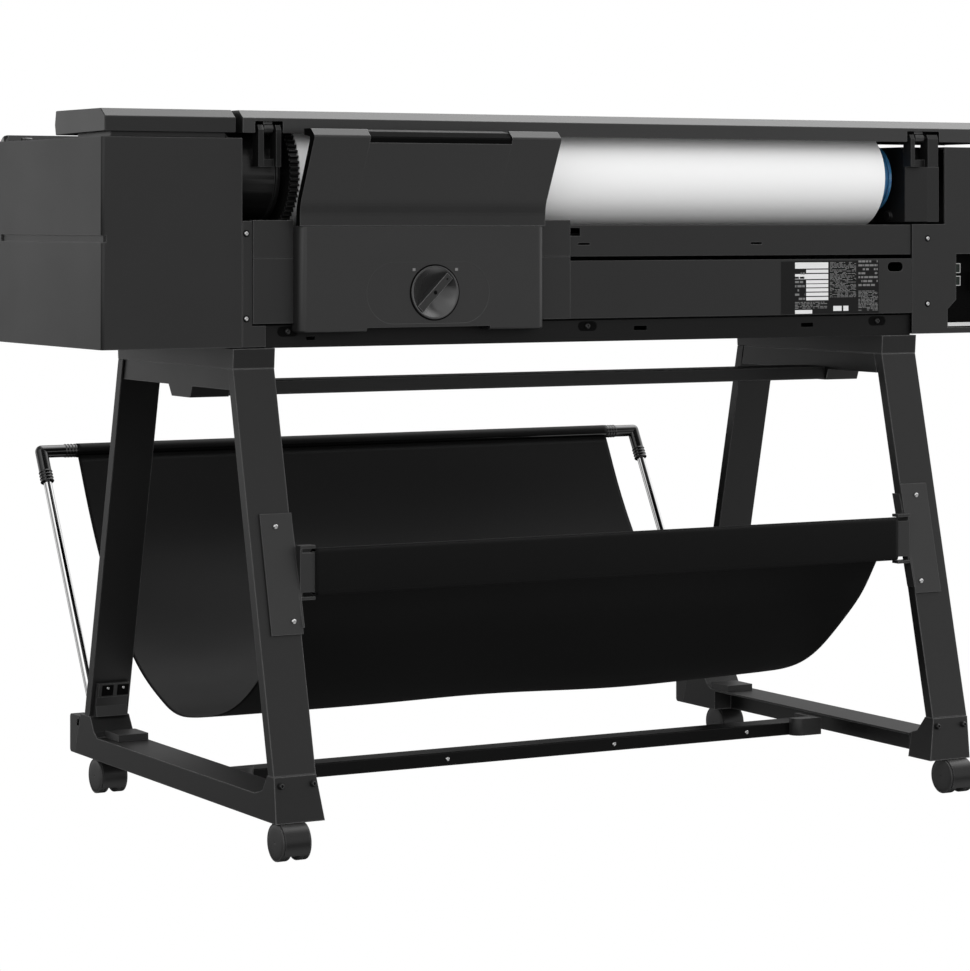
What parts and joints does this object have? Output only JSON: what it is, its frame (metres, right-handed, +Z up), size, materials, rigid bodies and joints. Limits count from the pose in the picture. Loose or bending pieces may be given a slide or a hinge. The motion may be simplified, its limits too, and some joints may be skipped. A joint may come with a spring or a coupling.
{
  "type": "large format roll plotter on a wheeled stand",
  "caption": "Wide roll plotter with hinged roll lid, sheet feeder, printing carriage and a cloth catch bin on an A-frame stand with casters.",
  "frame": {"origin": "floor, under the middle of the whole object with its bin out", "axes": "+X along the body towards its right end as seen from the rear, +Y from the paper roll side to the output side, +Z up"},
  "size_m": [1.414, 0.8613, 0.9245],
  "materials": {
    "housing_plastic": "fine moulded texture",
    "lid_plastic": "satin",
    "feeder_plastic": "fine moulded texture",
    "flap_plastic": "satin",
    "knob_plastic": "satin",
    "rear_panel_metal": "satin powder coat",
    "skirt_metal": "satin powder coat",
    "black_plastic": "satin",
    "steel_frame": "plated",
    "paper": "matte",
    "blue_plastic": "glossy",
    "platen_plastic": "ribbed",
    "roller_rubber": "matte",
    "belt_rubber": "matte",
    "front_plastic": "fine moulded texture",
    "clear_window": "smoked",
    "cartridge_plastic": "semi-gloss",
    "panel_plastic": "glossy",
    "button_plastic": "satin",
    "board_green": "printed board",
    "inlet_plastic": "matte",
    "screw_steel": "plated",
    "stand_paint": "fine powder coat",
    "bracket_paint": "satin",
    "bin_fabric": "plain weave",
    "rod_plastic": "glossy",
    "tube_chrome": "polished",
    "caster_plastic": "satin",
    "caster_tread": "matte"
  },
  "bodies": {
    "plotter_body": {"base_frame": "steel_frame", "bin_brackets": "bracket_paint", "bin_cloth": "bin_fabric", "bin_rear_bar": "bracket_paint", "carriage_belt": "belt_rubber", "carriage_rail": "steel_frame", "crossbars": "stand_paint", "drive_motors": "steel_frame", "electronics": "board_green", "feeder_box": "feeder_plastic", "feet": "stand_paint", "foot_caps": "black_plastic", "front_fascia": "front_plastic", "front_panel": "front_plastic", "ink_cartridges": "cartridge_plastic", "left_housing": "housing_plastic", "left_spindle_holder": "black_plastic", "lid_hinges": "black_plastic", "platen": "platen_plastic", "power_inlet": "inlet_plastic", "rear_lower_panel": "rear_panel_metal", "rear_skirt": "skirt_metal", "rear_trim_covers": "housing_plastic", "rear_upper_panel": "rear_panel_metal", "right_housing": "housing_plastic", "right_spindle_holder": "black_plastic", "roll_bay_liner": "steel_frame", "screws": "screw_steel", "short_top_cover": "housing_plastic", "stand_legs": "stand_paint", "top_brackets": "stand_paint", "top_deck": "front_plastic"},
    "roll_lid": {"roll_lid": "lid_plastic"},
    "feeder_flap": {"feeder_flap": "flap_plastic"},
    "feeder_knob": {"feeder_knob": "knob_plastic"},
    "roll_spindle": {"spindle_rod": "steel_frame", "paper_roll": "paper", "blue_hub": "blue_plastic", "geared_hub": "black_plastic"},
    "spindle_pinion": {"spindle_pinion": "black_plastic"},
    "drive_roller": {"drive_roller": "roller_rubber"},
    "pinch_rollers": {"pinch_rollers": "roller_rubber"},
    "carriage": {"carriage": "black_plastic"},
    "motor_pulley": {"motor_pulley": "black_plastic"},
    "idler_pulley": {"idler_pulley": "black_plastic"},
    "front_window": {"front_window": "clear_window"},
    "ink_door": {"ink_door": "front_plastic"},
    "control_panel": {"control_panel": "panel_plastic"},
    "power_button": {"power_button": "button_plastic"},
    "power_switch": {"power_switch": "button_plastic"},
    "bin_frame": {"bin_front_rod": "rod_plastic", "bin_tubes": "tube_chrome"},
    "caster_rear_left": {"caster_hood_rear_left": "caster_plastic"},
    "wheels_rear_left": {"caster_wheels_rear_left": "caster_tread"},
    "caster_rear_right": {"caster_hood_rear_right": "caster_plastic"},
    "wheels_rear_right": {"caster_wheels_rear_right": "caster_tread"},
    "caster_front_left": {"caster_hood_front_left": "caster_plastic"},
    "wheels_front_left": {"caster_wheels_front_left": "caster_tread"},
    "caster_front_right": {"caster_hood_front_right": "caster_plastic"},
    "wheels_front_right": {"caster_wheels_front_right": "caster_tread"}
  },
  "joints": [
    {"name": "lid_hinge", "type": "hinge", "parent": "plotter_body", "child": "roll_lid", "pos_m": [0, -0.28295, 0.9015], "axis": [1, 0, 0], "range_deg": [0, 80]},
    {"name": "feeder_flap_hinge", "type": "hinge", "parent": "plotter_body", "child": "feeder_flap", "pos_m": [-0.267, -0.31345, 0.77825], "axis": [1, 0, 0], "range_deg": [0, 30]},
    {"name": "feeder_knob_turn", "type": "hinge", "parent": "plotter_body", "child": "feeder_knob", "pos_m": [-0.2526, -0.30945, 0.6928], "axis": [0, 1, 0], "range_deg": [-90, 0]},
    {"name": "spindle_spin", "type": "hinge", "parent": "plotter_body", "child": "roll_spindle", "pos_m": [0, -0.20765, 0.8452], "axis": [1, 0, 0], "continuous": true},
    {"name": "spindle_pinion_spin", "type": "hinge", "parent": "plotter_body", "child": "spindle_pinion", "pos_m": [-0.4355, -0.14511, 0.78889], "axis": [1, 0, 0], "continuous": true},
    {"name": "drive_roller_spin", "type": "hinge", "parent": "plotter_body", "child": "drive_roller", "pos_m": [0, -0.07245, 0.786], "axis": [1, 0, 0], "continuous": true},
    {"name": "pinch_roller_spin", "type": "hinge", "parent": "plotter_body", "child": "pinch_rollers", "pos_m": [0, -0.07245, 0.8063], "axis": [1, 0, 0], "continuous": true},
    {"name": "carriage_slide", "type": "slide", "parent": "plotter_body", "child": "carriage", "axis": [1, 0, 0], "range_m": [-0.87, 0]},
    {"name": "motor_pulley_spin", "type": "hinge", "parent": "plotter_body", "child": "motor_pulley", "pos_m": [0.486, -0.06445, 0.838], "axis": [0, 1, 0], "continuous": true},
    {"name": "idler_pulley_spin", "type": "hinge", "parent": "plotter_body", "child": "idler_pulley", "pos_m": [-0.486, -0.06445, 0.838], "axis": [0, 1, 0], "continuous": true},
    {"name": "window_hinge", "type": "hinge", "parent": "plotter_body", "child": "front_window", "pos_m": [0, -0.08445, 0.881], "axis": [1, 0, 0], "range_deg": [0, 70]},
    {"name": "ink_door_hinge", "type": "hinge", "parent": "plotter_body", "child": "ink_door", "pos_m": [0.6175, 0.14415, 0.6515], "axis": [1, 0, 0], "range_deg": [-80, 0]},
    {"name": "panel_tilt", "type": "hinge", "parent": "plotter_body", "child": "control_panel", "pos_m": [-0.628, 0.06027, 0.892], "axis": [1, 0, 0], "range_deg": [0, 40]},
    {"name": "power_button_press", "type": "slide", "parent": "plotter_body", "child": "power_button", "axis": [0, -0.5145, -0.8575], "range_m": [0, 0.0025], "stiffness_N_per_m": 300},
    {"name": "power_switch_rock", "type": "hinge", "parent": "plotter_body", "child": "power_switch", "pos_m": [0.678, -0.27145, 0.698], "axis": [1, 0, 0], "range_deg": [-8, 0]},
    {"name": "bin_frame_fold", "type": "hinge", "parent": "plotter_body", "child": "bin_frame", "pos_m": [0, 0.21355, 0.084], "axis": [1, 0, 0], "range_deg": [0, 24], "deforming": ["bin_cloth"]},
    {"name": "swivel_rear_left", "type": "hinge", "parent": "plotter_body", "child": "caster_rear_left", "pos_m": [-0.506, -0.39445, 0.05], "axis": [0, 0, 1], "continuous": true},
    {"name": "wheel_spin_rear_left", "type": "hinge", "parent": "caster_rear_left", "child": "wheels_rear_left", "pos_m": [-0.506, -0.40645, 0.0235], "axis": [1, 0, 0], "continuous": true},
    {"name": "swivel_rear_right", "type": "hinge", "parent": "plotter_body", "child": "caster_rear_right", "pos_m": [0.506, -0.39445, 0.05], "axis": [0, 0, 1], "continuous": true},
    {"name": "wheel_spin_rear_right", "type": "hinge", "parent": "caster_rear_right", "child": "wheels_rear_right", "pos_m": [0.506, -0.40645, 0.0235], "axis": [1, 0, 0], "continuous": true},
    {"name": "swivel_front_left", "type": "hinge", "parent": "plotter_body", "child": "caster_front_left", "pos_m": [-0.506, 0.17355, 0.05], "axis": [0, 0, 1], "continuous": true},
    {"name": "wheel_spin_front_left", "type": "hinge", "parent": "caster_front_left", "child": "wheels_front_left", "pos_m": [-0.506, 0.16155, 0.0235], "axis": [1, 0, 0], "continuous": true},
    {"name": "swivel_front_right", "type": "hinge", "parent": "plotter_body", "child": "caster_front_right", "pos_m": [0.506, 0.17355, 0.05], "axis": [0, 0, 1], "continuous": true},
    {"name": "wheel_spin_front_right", "type": "hinge", "parent": "caster_front_right", "child": "wheels_front_right", "pos_m": [0.506, 0.16155, 0.0235], "axis": [1, 0, 0], "continuous": true}
  ],
  "couplings": [
    {"joint": "spindle_pinion_spin", "follows": "spindle_spin", "ratio": -5},
    {"joint": "pinch_roller_spin", "follows": "drive_roller_spin", "ratio": -1.8571},
    {"joint": "motor_pulley_spin", "follows": "carriage_slide", "rad_per_m": 108.7},
    {"joint": "idler_pulley_spin", "follows": "carriage_slide", "rad_per_m": 108.7}
  ]
}
